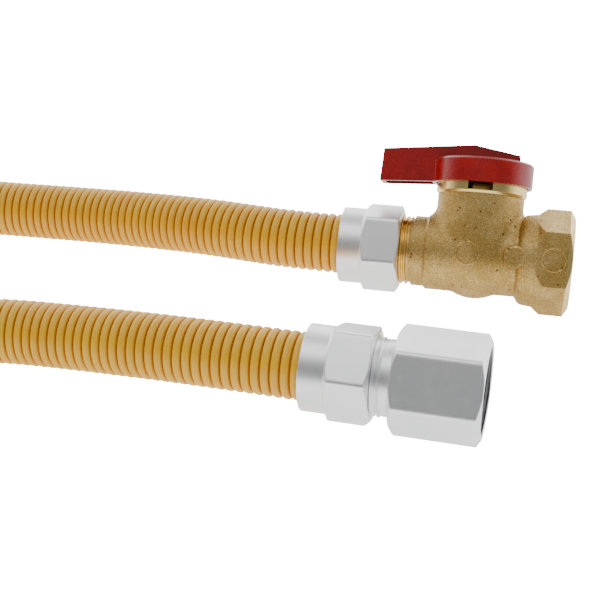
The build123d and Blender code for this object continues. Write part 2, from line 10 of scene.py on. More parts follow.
import bmesh
import bpy
import numpy as np
from mathutils import Matrix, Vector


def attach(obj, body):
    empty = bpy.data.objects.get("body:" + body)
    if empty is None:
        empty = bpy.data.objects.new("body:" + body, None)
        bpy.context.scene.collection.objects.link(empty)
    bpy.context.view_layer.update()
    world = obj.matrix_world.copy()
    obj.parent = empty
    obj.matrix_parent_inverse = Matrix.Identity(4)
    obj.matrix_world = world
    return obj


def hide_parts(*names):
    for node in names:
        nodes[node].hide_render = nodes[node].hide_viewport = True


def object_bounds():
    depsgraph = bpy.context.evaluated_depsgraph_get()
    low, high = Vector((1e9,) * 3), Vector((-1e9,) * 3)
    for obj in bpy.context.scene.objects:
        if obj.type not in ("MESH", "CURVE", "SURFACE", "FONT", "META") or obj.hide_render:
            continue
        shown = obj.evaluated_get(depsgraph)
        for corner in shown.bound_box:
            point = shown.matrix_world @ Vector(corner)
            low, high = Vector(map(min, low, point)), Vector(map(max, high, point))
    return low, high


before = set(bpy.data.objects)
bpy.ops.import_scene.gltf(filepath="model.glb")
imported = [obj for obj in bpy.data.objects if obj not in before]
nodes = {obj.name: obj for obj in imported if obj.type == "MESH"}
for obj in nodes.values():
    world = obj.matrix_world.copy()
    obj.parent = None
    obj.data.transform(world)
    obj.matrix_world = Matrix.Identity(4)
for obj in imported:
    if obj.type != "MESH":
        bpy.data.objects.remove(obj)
cad_low, cad_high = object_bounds()

# %% [markdown]
# ## Sizes
# The lathe and the hexagon bar set most of the sizes. They are given as a workshop drawing
# gives them, in millimetres along and round each piece's own axis, and MM makes them metres.

# %% Sizes
MM = 0.001

# The three axes that everything is turned about
LEAN = np.radians(30)
STEM_FOOT = np.array([-0.0325, 0, 0])
UP = np.array([0, 0, 1.0])
PIPE_DIR = np.array([1.0, 0, 0])
STEM_DIR = np.array([0, np.sin(LEAN), np.cos(LEAN)])
BACK_DIR = np.array([0, np.cos(LEAN), -np.sin(LEAN)])
HEADING = np.radians(-3)
ADAPTER_DIR = np.array([np.cos(HEADING), np.sin(HEADING), 0])
ADAPTER_MOUTH = np.array([-0.0224, -0.0822, -0.00125])

# Nuts and adapter, in millimetres along their own axis
NUT_AF = 27.0
NUT_HEX_LENGTH = 13.0
NUT_LENGTH = 20.9
NUT_COLLAR_R = 13.15
NUT_BORE_R = 11.95
TUBE_BORE_R = 8.35
NUT_CHAMFER = 1.2
NUT_TAIL_WALL = 2.95
NUT_CONE = (-14.32, -10.72)
NUT_MOUTH_CHAMFER = 0.7
HOSE_BORE_IN_NUT = 10.8
VALVE_NUT_FACE = -25.6
ADAPTER_NUT_FACE = -32.5
VALVE_NUT_TURN = 7.0
ADAPTER_NUT_TURN = 19.5

ADAPTER_AF = 29.0
ADAPTER_HEX_LENGTH = 26.8
ADAPTER_NECK_R = 11.5
ADAPTER_THREAD_START = -29.2
ADAPTER_FLARE_TIP = -46.9
ADAPTER_MOUTH_R = 13.2
ADAPTER_FACE_R = 14.3
ADAPTER_CHAMFER = 1.5
ADAPTER_BORE_R = 5.6
ADAPTER_BORE_RUN = (-19.0, -17.0)
FLARE_NOSE_LENGTH = 3.6
FLARE_NOSE_R = (10.6, 7.0)

# Threads: the 3/4-14 pipe thread and the 15/16-16 flare thread
PIPE_THREAD_R = 12.0
PIPE_THREAD_DEPTH = 0.95
PIPE_PITCH = 25.4 / 14
FLARE_THREAD_R = 11.9
FLARE_THREAD_DEPTH = 0.7
FLARE_PITCH = 25.4 / 16
ROOT_ROOM = 0.05
THREAD_TURNS = 144
THREAD_ROWS = 10
SLEEVE_WALL = 0.1

# The corrugated hose
HOSE_R = 10.4
HOSE_ROOT_R = 8.8
RIB_PITCH = 3.0
RIB_SHARES = np.array([-0.5, -0.455, -0.37, -0.22, 0, 0.22, 0.37, 0.455])
RIB_POWERS = (3.0, 0.62)

# %% [markdown]
# ## Surfaces
# Nearly everything here is turned on a lathe or cut with a die: a profile goes round an axis,
# and a hexagon or a thread changes the radius as it goes. One function therefore makes a
# closed surface from a loop of profile points, and small functions supply the radii.


# %% Grids into meshes
def grid_piece(name, grid, closed_rows=False, caps=False):
    """A mesh from an array of points (rows, columns, 3) in metres. Each cell of the grid is
    one quad. Columns close on themselves and rows can too, and caps closes both end rows
    with a fan round their own middle point."""
    rows, columns = grid.shape[:2]
    index = np.arange(rows * columns).reshape(rows, columns)
    down = np.roll(index, -1, axis=0) if closed_rows else index[1:]
    first = index if closed_rows else index[:-1]
    quads = np.stack(
        [first, np.roll(first, -1, axis=1), np.roll(down, -1, axis=1), down], axis=-1
    )
    points = grid.reshape(-1, 3)
    faces = quads.reshape(-1, 4)
    if caps:
        ends = grid[[0, -1]].mean(axis=1)
        points = np.vstack([points, ends])
        near = np.stack([np.roll(index[0], -1), index[0], np.full(columns, len(points) - 2)], 1)
        far = np.stack([index[-1], np.roll(index[-1], -1), np.full(columns, len(points) - 1)], 1)
        triangles = np.vstack([near, far])
    else:
        triangles = np.zeros((0, 3), int)
    mesh = bpy.data.meshes.new(name)
    mesh.vertices.add(len(points))
    mesh.vertices.foreach_set("co", points.ravel())
    loops = np.concatenate([faces.ravel(), triangles.ravel()])
    counts = np.concatenate([np.full(len(faces), 4), np.full(len(triangles), 3)])
    mesh.loops.add(len(loops))
    mesh.loops.foreach_set("vertex_index", loops.astype(np.int32))
    mesh.polygons.add(len(counts))
    starts = np.concatenate([[0], np.cumsum(counts)[:-1]])
    mesh.polygons.foreach_set("loop_start", starts.astype(np.int32))
    mesh.update(calc_edges=True)
    mesh.validate()
    mesh.shade_smooth()
    piece = bpy.data.objects.new(name, mesh)
    bpy.context.scene.collection.objects.link(piece)
    outward(piece)
    print(name, len(mesh.vertices), "vertices", len(mesh.polygons), "faces")
    return piece


def outward(piece):
    """Turns the faces of a closed mesh outward, so that its volume counts as positive."""
    work = bmesh.new()
    work.from_mesh(piece.data)
    if work.calc_volume(signed=True) < 0:
        bmesh.ops.reverse_faces(work, faces=work.faces)
        work.to_mesh(piece.data)
    work.free()


def turned(name, foot, axis, along, radii, turns):
    """A closed surface round an axis. along and radii are the profile's distances along the
    axis and from it, in millimetres; radii may also hold one column for each angle. The
    angle runs from the upward direction."""
    angles = np.linspace(0, 2 * np.pi, turns, endpoint=False)
    across = np.cross(UP, axis)
    across = across / np.linalg.norm(across) if np.linalg.norm(across) > 1e-6 else PIPE_DIR
    upward = np.cross(axis, across)
    spokes = np.cos(angles)[:, None] * upward + np.sin(angles)[:, None] * across
    radii = np.asarray(radii, float)
    radii = radii[:, None] if radii.ndim == 1 else radii
    radii = radii * np.ones((1, turns))
    along = np.asarray(along, float)
    along = along[:, None] * np.ones((1, turns)) if along.ndim == 1 else along
    grid = foot + MM * (along[..., None] * axis + radii[..., None] * spokes[None])
    return grid_piece(name, grid, closed_rows=True)


def rounded_loop(corners, step=0.35, blunt=0.25):
    """A loop of profile points through the corners, with each corner blunted and points
    about a step apart, so that every edge of the turned piece catches the light."""
    corners = np.asarray(corners, float)
    before = np.roll(corners, 1, axis=0)
    after = np.roll(corners, -1, axis=0)
    back = np.linalg.norm(before - corners, axis=1)[:, None]
    ahead = np.linalg.norm(after - corners, axis=1)[:, None]
    longest_share = 0.4
    cut = np.minimum(blunt, longest_share * np.minimum(back, ahead))
    entry = corners + (before - corners) / back * cut
    leave = corners + (after - corners) / ahead * cut
    arc_points = 4
    bend = np.linspace(0, 1, arc_points)[None, :, None]
    curve = (
        (1 - bend) ** 2 * entry[:, None]
        + 2 * bend * (1 - bend) * corners[:, None]
        + bend**2 * leave[:, None]
    )
    arrive = np.roll(entry, -1, axis=0)
    pieces = []
    for arc, here, there in zip(curve, leave, arrive):
        count = max(int(np.ceil(np.linalg.norm(there - here) / step)), 1)
        run = here + (there - here) * np.linspace(0, 1, count, endpoint=False)[1:, None]
        pieces += [arc, run]
    return np.vstack(pieces)


def hexagon(across_flats, angles, blunt=0.25):
    """Radius of a hexagon at each angle, its corners blunted: the flat's distance over the
    cosine of the angle from the nearest flat, drawn towards a circle near the corner."""
    sector = np.pi / 3
    offset = (angles + sector / 2) % sector - sector / 2
    flat = across_flats / 2 / np.cos(offset)
    corner = across_flats / 2 / np.cos(sector / 2) - blunt
    return soft_min(flat, corner, blunt)


def soft_min(a, b, width):
    """The smaller of two lengths, with a round of about the given width where they meet."""
    share = np.clip(0.5 + (b - a) / (2 * width), 0, 1)
    return b * (1 - share) + a * share - width * share * (1 - share)


def thread_wave(along, angles, pitch, crest=0.16):
    """Depth of a V thread from 0 at the crest to 1 at the root, for every point along the
    axis and every angle: a triangle wave of the turns, with blunt crests and roots."""
    turns_done = (along / pitch + angles / (2 * np.pi)) % 1.0
    wave = np.abs(2 * turns_done - 1)
    return np.clip((wave - crest) / (1 - 2 * crest), 0, 1)


# %% [markdown]
# ## Softened copies of the CAD nodes
# The forged body, the lever, its screw and the gland nut already have their shape in the CAD, but
# their edges are knife-sharp, which no forging, moulding or turned part has. Each one is
# copied, its loose triangles are merged, and a bevel rounds only the true edges.


# %% Copies with rounded edges
MERGE_DISTANCE = 1e-6
FLAT_ANGLE = np.radians(0.2)
EDGE_ANGLE = np.radians(30)


def softened(name, node, width, segments=3, reshape=None):
    """A merged copy of a CAD node, its true edges rounded to the given width in
    millimetres. reshape may move the copy's points before they are rounded."""
    work = bmesh.new()
    work.from_mesh(nodes[node].data)
    bmesh.ops.remove_doubles(work, verts=work.verts, dist=MERGE_DISTANCE)
    bmesh.ops.dissolve_limit(work, angle_limit=FLAT_ANGLE, verts=work.verts, edges=work.edges)
    mesh = bpy.data.meshes.new(name)
    work.to_mesh(mesh)
    work.free()
    if reshape:
        points = np.empty(len(mesh.vertices) * 3)
        mesh.vertices.foreach_get("co", points)
        mesh.vertices.foreach_set("co", reshape(points.reshape(-1, 3)).ravel())
    mesh.shade_smooth()
    piece = bpy.data.objects.new(name, mesh)
    bpy.context.scene.collection.objects.link(piece)
    bevel = piece.modifiers.new("rounded edges", "BEVEL")
    bevel.width = width * MM
    bevel.segments = segments
    bevel.limit_method = "ANGLE"
    bevel.angle_limit = EDGE_ANGLE
    bevel.use_clamp_overlap = True
    bevel.harden_normals = False
    normals = piece.modifiers.new("even shading", "WEIGHTED_NORMAL")
    normals.keep_sharp = False
    print(name, len(mesh.vertices), "vertices before rounding")
    return piece


# %% [markdown]
# ## Valve body
# A hot forging of brass, sand-blasted, with its rim, mouth and threads machined. The copy's
# inlet bore is widened and its outlet end is thinned by the depth of a thread, which makes
# room for the two real threads made next.


# %% Valve body
ON_THE_WALL = 2e-5
BORE_FROM_X = -0.0155
OUTLET_TO_X = -0.0535


def make_room_for_threads(points):
    """Moves the inlet bore out and the outlet's thread cylinder in, by a thread's depth."""
    radius = np.hypot(points[:, 1], points[:, 2])
    bore = (abs(radius - PIPE_THREAD_R * MM) < ON_THE_WALL) & (points[:, 0] > BORE_FROM_X)
    outlet = (abs(radius - FLARE_THREAD_R * MM) < ON_THE_WALL) & (points[:, 0] < OUTLET_TO_X)
    scale = np.ones(len(points))
    scale[bore] = 1 + PIPE_THREAD_DEPTH / PIPE_THREAD_R
    scale[outlet] = 1 - (FLARE_THREAD_DEPTH + ROOT_ROOM) / FLARE_THREAD_R
    print("bore points", bore.sum(), "outlet points", outlet.sum())
    return points * np.stack([np.ones(len(points)), scale, scale], axis=1)


valve_forging = softened("valve_forging", "valve_body", 0.3, reshape=make_room_for_threads)
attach(valve_forging, "valve")
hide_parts("valve_body")


# %% [markdown]
# Threads are cut, so each one is a closed sleeve whose working side rises and falls as it
# winds along the axis. The sleeve's other side is buried in the metal round it.


# %% Threads
def thread_sleeve(name, foot, axis, span, crest_r, depth, pitch, inside, mouth_r=None):
    """A closed sleeve with a helical V thread on one side. span is its start and end along
    the axis in millimetres. Inside a bore the roots lie further out than the crests."""
    angles = np.linspace(0, 2 * np.pi, THREAD_TURNS, endpoint=False)
    rows = int((span[1] - span[0]) / pitch * THREAD_ROWS)
    along = np.linspace(*span, rows)
    wave = thread_wave(along[:, None], angles[None, :], pitch)
    outward_sign = 1 if inside else -1
    working = crest_r + outward_sign * depth * wave
    if mouth_r:
        working = np.maximum(working, mouth_r - abs(along[:, None]))
    buried_r = crest_r + outward_sign * (depth + SLEEVE_WALL)
    buried = np.full((2, THREAD_TURNS), buried_r)
    radii = np.vstack([working, buried])
    profile = np.concatenate([along, span[::-1]])
    return turned(name, foot, axis, profile, radii, turns=THREAD_TURNS)


inlet_thread = thread_sleeve(
    "inlet_thread", np.zeros(3), PIPE_DIR, (-15.0, -0.3), PIPE_THREAD_R,
    PIPE_THREAD_DEPTH, PIPE_PITCH, inside=True, mouth_r=13.3,
)
outlet_thread = thread_sleeve(
    "outlet_thread", np.zeros(3), PIPE_DIR, (-68.6, -54.9), FLARE_THREAD_R,
    FLARE_THREAD_DEPTH, FLARE_PITCH, inside=False,
)
adapter_inner_thread = thread_sleeve(
    "adapter_inner_thread", ADAPTER_MOUTH, ADAPTER_DIR, (-16.8, -0.3), PIPE_THREAD_R,
    PIPE_THREAD_DEPTH, PIPE_PITCH, inside=True, mouth_r=ADAPTER_MOUTH_R,
)
adapter_outer_thread = thread_sleeve(
    "adapter_outer_thread", ADAPTER_MOUTH, ADAPTER_DIR, (-43.0, -29.9), FLARE_THREAD_R,
    FLARE_THREAD_DEPTH, FLARE_PITCH, inside=False,
)
threads = [inlet_thread, outlet_thread, adapter_inner_thread, adapter_outer_thread]
for thread in threads:
    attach(thread, "valve")

# %% [markdown]
# ## Flare nuts and adapter
# Both are turned from hexagon bar, so each is one profile round an axis, and the bar's six
# flats cut the profile off wherever it would stand out past them.


# %% Flare nuts
BAR_TURNS = 240
BAR_STEP = 0.5
BAR_CUT_FROM = 0.45
BAR_BLUNT = 0.22


def from_bar(name, foot, axis, corners, across_flats, turn=0.0):
    """A piece turned from hexagon bar: the smaller of the profile's radius and the bar's."""
    angles = np.linspace(0, 2 * np.pi, BAR_TURNS, endpoint=False)
    profile = rounded_loop(corners, step=BAR_STEP)
    bar = hexagon(across_flats, angles - np.radians(turn))
    outer = profile[:, 1:] > across_flats / 2 - BAR_CUT_FROM
    radii = np.where(outer, soft_min(profile[:, 1:], bar[None], BAR_BLUNT), profile[:, 1:])
    return turned(name, foot, axis, profile[:, 0], radii, turns=BAR_TURNS)


def flare_nut(name, foot, axis, face, turn):
    """A long flare nut: hexagon over the thread, round collar over the hose's end."""
    hex_back = -NUT_HEX_LENGTH
    corner_r = NUT_AF / 2 / np.cos(np.pi / 6) + 0.1
    corners = np.array([
        (0, NUT_BORE_R + NUT_MOUTH_CHAMFER),
        (0, NUT_AF / 2 - 0.5),
        (-NUT_CHAMFER, corner_r),
        (hex_back + NUT_CHAMFER, corner_r),
        (hex_back, NUT_AF / 2 - 0.15),
        (hex_back - 0.3, NUT_COLLAR_R),
        (-NUT_LENGTH, NUT_COLLAR_R),
        (-NUT_LENGTH, HOSE_BORE_IN_NUT),
        (-NUT_LENGTH + NUT_TAIL_WALL, HOSE_BORE_IN_NUT),
        (-NUT_LENGTH + NUT_TAIL_WALL, TUBE_BORE_R),
        (NUT_CONE[0], TUBE_BORE_R),
        (NUT_CONE[1], NUT_BORE_R),
        (-NUT_MOUTH_CHAMFER, NUT_BORE_R),
    ])
    return from_bar(name, foot, axis, corners + [face, 0], NUT_AF, turn)


valve_nut = flare_nut("valve_flare_nut", STEM_FOOT, PIPE_DIR, VALVE_NUT_FACE, VALVE_NUT_TURN)
adapter_nut = flare_nut(
    "adapter_flare_nut", ADAPTER_MOUTH, ADAPTER_DIR, ADAPTER_NUT_FACE, ADAPTER_NUT_TURN
)
for nut, node in ((valve_nut, "flare_nut_valve"), (adapter_nut, "flare_nut_adapter")):
    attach(nut, "valve")
    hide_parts(node)

# %% Adapter
ADAPTER_CORNER_R = ADAPTER_AF / 2 / np.cos(np.pi / 6) + 0.1
THREAD_ROOT_R = PIPE_THREAD_R + PIPE_THREAD_DEPTH
FLARE_ROOT_R = FLARE_THREAD_R - FLARE_THREAD_DEPTH - ROOT_ROOM
adapter_profile = [
    (0, ADAPTER_MOUTH_R),
    (0, ADAPTER_FACE_R),
    (-ADAPTER_CHAMFER, ADAPTER_CORNER_R),
    (-ADAPTER_HEX_LENGTH + ADAPTER_CHAMFER, ADAPTER_CORNER_R),
    (-ADAPTER_HEX_LENGTH, ADAPTER_FACE_R),
    (-ADAPTER_HEX_LENGTH, ADAPTER_NECK_R),
    (ADAPTER_THREAD_START, ADAPTER_NECK_R),
    (ADAPTER_THREAD_START, FLARE_ROOT_R),
    (ADAPTER_FLARE_TIP + FLARE_NOSE_LENGTH, FLARE_ROOT_R),
    (ADAPTER_FLARE_TIP + FLARE_NOSE_LENGTH, FLARE_NOSE_R[0]),
    (ADAPTER_FLARE_TIP, FLARE_NOSE_R[1]),
    (ADAPTER_FLARE_TIP, ADAPTER_BORE_R),
    (ADAPTER_BORE_RUN[0], ADAPTER_BORE_R),
    (ADAPTER_BORE_RUN[1], THREAD_ROOT_R),
    (-0.25, THREAD_ROOT_R),
]
female_adapter = from_bar(
    "female_adapter", ADAPTER_MOUTH, ADAPTER_DIR, adapter_profile, ADAPTER_AF
)
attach(female_adapter, "valve")
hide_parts("adapter")

# %% [markdown]
# ## Lever
# Moulded or die-cast and painted red: a shallow cap over the body's rim with a hollow bar
# across it. Gland nut, spring washer and slotted screw hold it and the stem.

# %% Lever and what holds it
red_lever = softened("red_lever", "handle", 0.45)
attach(red_lever, "lever")
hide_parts("handle")

screw_head = softened("lever_screw", "handle_screw", 0.12, segments=2)
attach(screw_head, "lever")
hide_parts("handle_screw")

gland_hexagon = softened("gland_hexagon_nut", "gland_nut", 0.25, segments=2)
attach(gland_hexagon, "valve")
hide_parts("gland_nut")

# %% [markdown]
# ## Raised marks
# The forging carries three small raised outlines on its front. They stand plain here, with
# nothing inside them. Two are thin beads that follow the belly's curve and the hexagon's
# flat. The third straddles the barrel and the ring behind the hexagon, so it is a low boss
# with a raised edge.


# %% Raised marks
NECK_R = 14.8
BEAD_R = 0.38
BEAD_SUNK = 0.05
MARK_R = 3.9
BELLY_MARK_X = -2.3
RING_MARK_X = 13.6
HEXAGON_MARK_X = 26.2
HEXAGON_FLAT = 15.75
BOSS_FOOT = 11.5
BOSS_TOP = 15.05
BOSS_EDGE = 15.35
BOSS_SHOULDER = 14.9
FRONT_DIR = -BACK_DIR


def front_point(x, height, out):
    """A point in front of the stem, from distances along the pipe, up the stem and out."""
    parts = (x[..., None] * PIPE_DIR, height[..., None] * STEM_DIR, out[..., None] * FRONT_DIR)
    return STEM_FOOT + MM * sum(parts)


def bead_round(name, x, surface):
    """A closed round bead in a circle. surface gives how far out the body is at a point."""
    ring_angle = np.linspace(0, 2 * np.pi, 72, endpoint=False)[:, None]
    bead_angle = np.linspace(0, 2 * np.pi, 12, endpoint=False)[None, :]
    reach = MARK_R + BEAD_R * np.cos(bead_angle)
    across = x + reach * np.cos(ring_angle)
    height = reach * np.sin(ring_angle)
    out = surface(across, height) + BEAD_R * np.sin(bead_angle) - BEAD_SUNK
    return grid_piece(name, front_point(across, height, out), closed_rows=True)


def belly_surface(x, height):
    """The neck's cylinder above the pipe's axis and the belly's sphere below it."""
    return np.sqrt(NECK_R**2 - x**2 - np.minimum(height, 0) ** 2)


def hexagon_surface(x, height):
    """The hexagon's front flat."""
    return HEXAGON_FLAT + 0 * x


def marked_boss(name, x):
    """A low boss turned about the front direction, with a raised edge and a flat middle."""
    profile = rounded_loop([
        (BOSS_FOOT, 0.01), (BOSS_TOP, 0.01), (BOSS_TOP, MARK_R - 0.75),
        (BOSS_EDGE, MARK_R - 0.45), (BOSS_EDGE, MARK_R - 0.15), (BOSS_SHOULDER, MARK_R),
        (BOSS_FOOT, MARK_R + 0.35),
    ], blunt=0.15)
    foot = STEM_FOOT + MM * x * PIPE_DIR
    return turned(name, foot, FRONT_DIR, profile[:, 0], profile[:, 1], turns=96)


marks = [
    bead_round("belly_mark", BELLY_MARK_X, belly_surface),
    marked_boss("ring_mark", RING_MARK_X),
    bead_round("hexagon_mark", HEXAGON_MARK_X, hexagon_surface),
]
for mark in marks:
    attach(mark, "valve")

# %% [markdown]
# ## Hose
# A corrugated stainless tube under a thin yellow coating. It is stiff and springy, so it is
# never wound up small: it leaves the valve's nut straight, sinks to the floor, makes one
# wide loop there and comes back to the adapter's nut. The centreline is one open spline
# through the listed points, the same as in the CAD. The corrugations are rings round
# it, a rounded rib and a narrow groove for each pitch of its length.

# %% The hose's route
HOSE_ROUTE = [
    (-0.076, 0.0, 0.0),
    (-0.099, 0.0, 0.0),
    (-0.127, 0.0054, -0.0005),
    (-0.16, 0.0126, -0.0035),
    (-0.193, 0.016, -0.00535),
    (-0.227, 0.015, -0.00535),
    (-0.262, 0.027, -0.00535),
    (-0.299, 0.05, -0.00535),
    (-0.358, 0.066, -0.00535),
    (-0.415, 0.045, -0.00535),
    (-0.449, -0.005, -0.00535),
    (-0.449, -0.07, -0.00535),
    (-0.412, -0.124, -0.00535),
    (-0.352, -0.144, -0.00535),
    (-0.291, -0.123, -0.00535),
    (-0.248, -0.092, -0.00535),
    (-0.21, -0.0755, -0.00535),
    (-0.176, -0.0708, -0.0053),
    (-0.148, -0.0724, -0.0041),
    (-0.121, -0.0756, -0.0023),
    (-0.097, -0.07829, -0.00125),
    (-0.07273, -0.07956, -0.00125),
]


def centreline(route):
    """Points in order along one open spline through the route's control points."""
    curve = bpy.data.curves.new("route", "CURVE")
    curve.dimensions = "3D"
    spline = curve.splines.new("NURBS")
    spline.points.add(len(route) - 1)
    weighted = np.hstack([np.array(route), np.ones((len(route), 1))])
    spline.points.foreach_set("co", weighted.ravel())
    spline.order_u = 3
    spline.use_endpoint_u = True
    spline.resolution_u = 24
    holder = bpy.data.objects.new("route", curve)
    mesh = bpy.data.meshes.new_from_object(holder)
    points = np.empty(len(mesh.vertices) * 3)
    mesh.vertices.foreach_get("co", points)
    bpy.data.objects.remove(holder)
    bpy.data.curves.remove(curve)
    bpy.data.meshes.remove(mesh)
    return points.reshape(-1, 3)


hose_line = centreline(HOSE_ROUTE)
steps = np.linalg.norm(np.diff(hose_line, axis=0), axis=1)
travelled = np.concatenate([[0], np.cumsum(steps)])
hose_length = travelled[-1]
print("hose length", round(hose_length, 4), "m, points", len(hose_line))


# %% The corrugated tube
def rib_radius(share):
    """Radius over one pitch, share running from -0.5 to 0.5 across a rib: a superellipse,
    flat-topped and steep at the sides, so that the grooves stay narrow."""
    inner, outer = RIB_POWERS
    return HOSE_ROOT_R + (HOSE_R - HOSE_ROOT_R) * (1 - (2 * abs(share)) ** inner) ** outer


def corrugated_tube(name, line, reach, turns=38):
    """Rings round the line, eight to a pitch and closer together in the grooves. Each ring
    stands square to the line. The ends close over with a flat disc."""
    ribs = int(reach[-1] / (RIB_PITCH * MM))
    pitch = reach[-1] / ribs
    places = ((np.arange(ribs)[:, None] + 0.5 + RIB_SHARES[None]) * pitch).ravel()
    places = np.append(places, reach[-1])
    radii = np.append(np.tile(rib_radius(RIB_SHARES), ribs), HOSE_ROOT_R) * MM
    middle = np.stack([np.interp(places, reach, line[:, k]) for k in range(3)], axis=1)
    heading = np.gradient(line, reach, axis=0)
    heading = np.stack([np.interp(places, reach, heading[:, k]) for k in range(3)], axis=1)
    heading /= np.linalg.norm(heading, axis=1)[:, None]
    across = np.cross(UP, heading)
    across /= np.linalg.norm(across, axis=1)[:, None]
    upward = np.cross(heading, across)
    angles = np.linspace(0, 2 * np.pi, turns, endpoint=False)[None, :, None]
    spokes = np.cos(angles) * across[:, None] + np.sin(angles) * upward[:, None]
    grid = middle[:, None] + radii[:, None, None] * spokes
    tube = grid_piece(name, grid, caps=True)
    depth = 1 - (radii - radii.min()) / (radii.max() - radii.min())
    depth = np.append(np.repeat(depth, turns), [1, 1])
    tube.data.attributes.new("groove", "FLOAT", "POINT").data.foreach_set("value", depth)
    print(name, "ribs", ribs, "pitch", round(pitch / MM, 3), "mm")
    return tube


corrugated_hose = corrugated_tube("corrugated_hose", hose_line, travelled)
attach(corrugated_hose, "valve")
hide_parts("hose")

# %% [markdown]
# ## Materials
# Every finish is worked out from the place on the piece, in metres, so that a grain is as
# wide as the real one: about 0.4 mm for the blasted brass. Three effects
# are shared by several finishes, and each of them is a node group made once.


# %% Helpers for node trees
def linear(red, green, blue):
    """A colour given as 0 to 255 on a screen, as the light that a shader works with."""
    share = np.array([red, green, blue]) / 255
    light = np.where(share <= 0.04045, share / 12.92, ((share + 0.055) / 1.055) ** 2.4)
    return (*map(float, light), 1.0)


def feed(tree, socket, value):
    """Links another socket into this one, or sets this one where the value is plain."""
    if isinstance(value, bpy.types.NodeSocket):
        tree.links.new(value, socket)
    else:
        socket.default_value = value


def add_node(tree, kind, inputs=None, **settings):
    """A new node with its settings, and its inputs given as values or as other sockets."""
    node = tree.nodes.new(kind)
    for key, value in settings.items():
        setattr(node, key, value)
    for key, value in (inputs or {}).items():
        feed(tree, node.inputs[key], value)
    return node


def blend_colour(tree, share, first, second):
    """Mixes two colours by a share from 0 to 1."""
    node = add_node(tree, "ShaderNodeMix", data_type="RGBA", blend_type="MIX")
    for index, value in ((0, share), (6, first), (7, second)):
        feed(tree, node.inputs[index], value)
    return node.outputs[2]


def ease(tree, value, low, high, start=0.0, end=1.0):
    """Start below low, end above high, and a smooth change between them."""
    node = add_node(
        tree, "ShaderNodeMapRange", interpolation_type="SMOOTHSTEP",
        inputs={0: value, 1: low, 2: high, 3: start, 4: end},
    )
    return node.outputs[0]


def math_of(tree, operation, first, second=0.0):
    """The result of one sum on two values."""
    return add_node(tree, "ShaderNodeMath", operation=operation,
                    inputs={0: first, 1: second}).outputs[0]


def new_group(name, inputs, outputs):
    """An empty shader node group with named inputs and outputs."""
    tree = bpy.data.node_groups.new(name, "ShaderNodeTree")
    for socket_name, kind, default in inputs:
        socket = tree.interface.new_socket(socket_name, in_out="INPUT", socket_type=kind)
        if default is not None:
            socket.default_value = default
    for socket_name, kind in outputs:
        tree.interface.new_socket(socket_name, in_out="OUTPUT", socket_type=kind)
    return tree, tree.nodes.new("NodeGroupInput"), tree.nodes.new("NodeGroupOutput")


# %% Effects that several finishes share
def make_blasted_grain():
    """Fine grain with a few deeper pits, as shot or sand leaves on metal. Height is 0 at the
    bottom of a pit and about 1 on top of a grain."""
    tree, given, result = new_group(
        "blasted_grain",
        [("Place", "NodeSocketVector", None), ("Grains per metre", "NodeSocketFloat", 1800.0),
         ("Pits per metre", "NodeSocketFloat", 260.0)],
        [("Height", "NodeSocketFloat"), ("Pits", "NodeSocketFloat")],
    )
    grain = add_node(tree, "ShaderNodeTexNoise", inputs={
        "Vector": given.outputs[0], "Scale": given.outputs[1], "Detail": 3.0,
        "Roughness": 0.62,
    })
    cells = add_node(tree, "ShaderNodeTexVoronoi", inputs={
        "Vector": given.outputs[0], "Scale": given.outputs[2], "Randomness": 1.0,
    })
    pits = ease(tree, cells.outputs["Distance"], 0.05, 0.13, 1.0, 0.0)
    height = math_of(tree, "SUBTRACT", grain.outputs[0], math_of(tree, "MULTIPLY", pits, 0.5))
    tree.links.new(height, result.inputs[0])
    tree.links.new(pits, result.inputs[1])
    return tree


def make_slow_drift():
    """Broad, soft patches between two colours, as tarnish or an uneven coating gives."""
    tree, given, result = new_group(
        "slow_drift",
        [("Place", "NodeSocketVector", None), ("Patches per metre", "NodeSocketFloat", 90.0),
         ("First", "NodeSocketColor", None), ("Second", "NodeSocketColor", None)],
        [("Colour", "NodeSocketColor"), ("Patches", "NodeSocketFloat")],
    )
    noise = add_node(tree, "ShaderNodeTexNoise", inputs={
        "Vector": given.outputs[0], "Scale": given.outputs[1], "Detail": 2.0,
    })
    patches = ease(tree, noise.outputs[0], 0.36, 0.66)
    colour = blend_colour(tree, patches, given.outputs[2], given.outputs[3])
    tree.links.new(colour, result.inputs[0])
    tree.links.new(patches, result.inputs[1])
    return tree


def make_tool_lines():
    """Fine rings round an axis through the origin, as a lathe tool leaves. They are uneven
    along the axis, and Height runs from 0 to 1."""
    tree, given, result = new_group(
        "tool_lines",
        [("Place", "NodeSocketVector", None), ("Axis", "NodeSocketVector", (1, 0, 0)),
         ("Lines per metre", "NodeSocketFloat", 2600.0)],
        [("Height", "NodeSocketFloat")],
    )
    along = add_node(tree, "ShaderNodeVectorMath", operation="DOT_PRODUCT",
                     inputs={0: given.outputs[0], 1: given.outputs[1]})
    across = add_node(tree, "ShaderNodeVectorMath", operation="LENGTH",
                      inputs={0: given.outputs[0]})
    place = add_node(tree, "ShaderNodeCombineXYZ", inputs={
        "X": along.outputs["Value"],
        "Y": math_of(tree, "MULTIPLY", across.outputs["Value"], 0.02),
    })
    noise = add_node(tree, "ShaderNodeTexNoise", inputs={
        "Vector": place.outputs[0], "Scale": given.outputs[2], "Detail": 1.0,
    })
    tree.links.new(noise.outputs[0], result.inputs[0])
    return tree


BLASTED_GRAIN = make_blasted_grain()
SLOW_DRIFT = make_slow_drift()
TOOL_LINES = make_tool_lines()


def use_group(tree, group, **values):
    """One of the shared effects, placed in a material with its own values."""
    node = tree.nodes.new("ShaderNodeGroup")
    node.node_tree = group
    for key, value in values.items():
        feed(tree, node.inputs[key.replace("_", " ")], value)
    return node.outputs


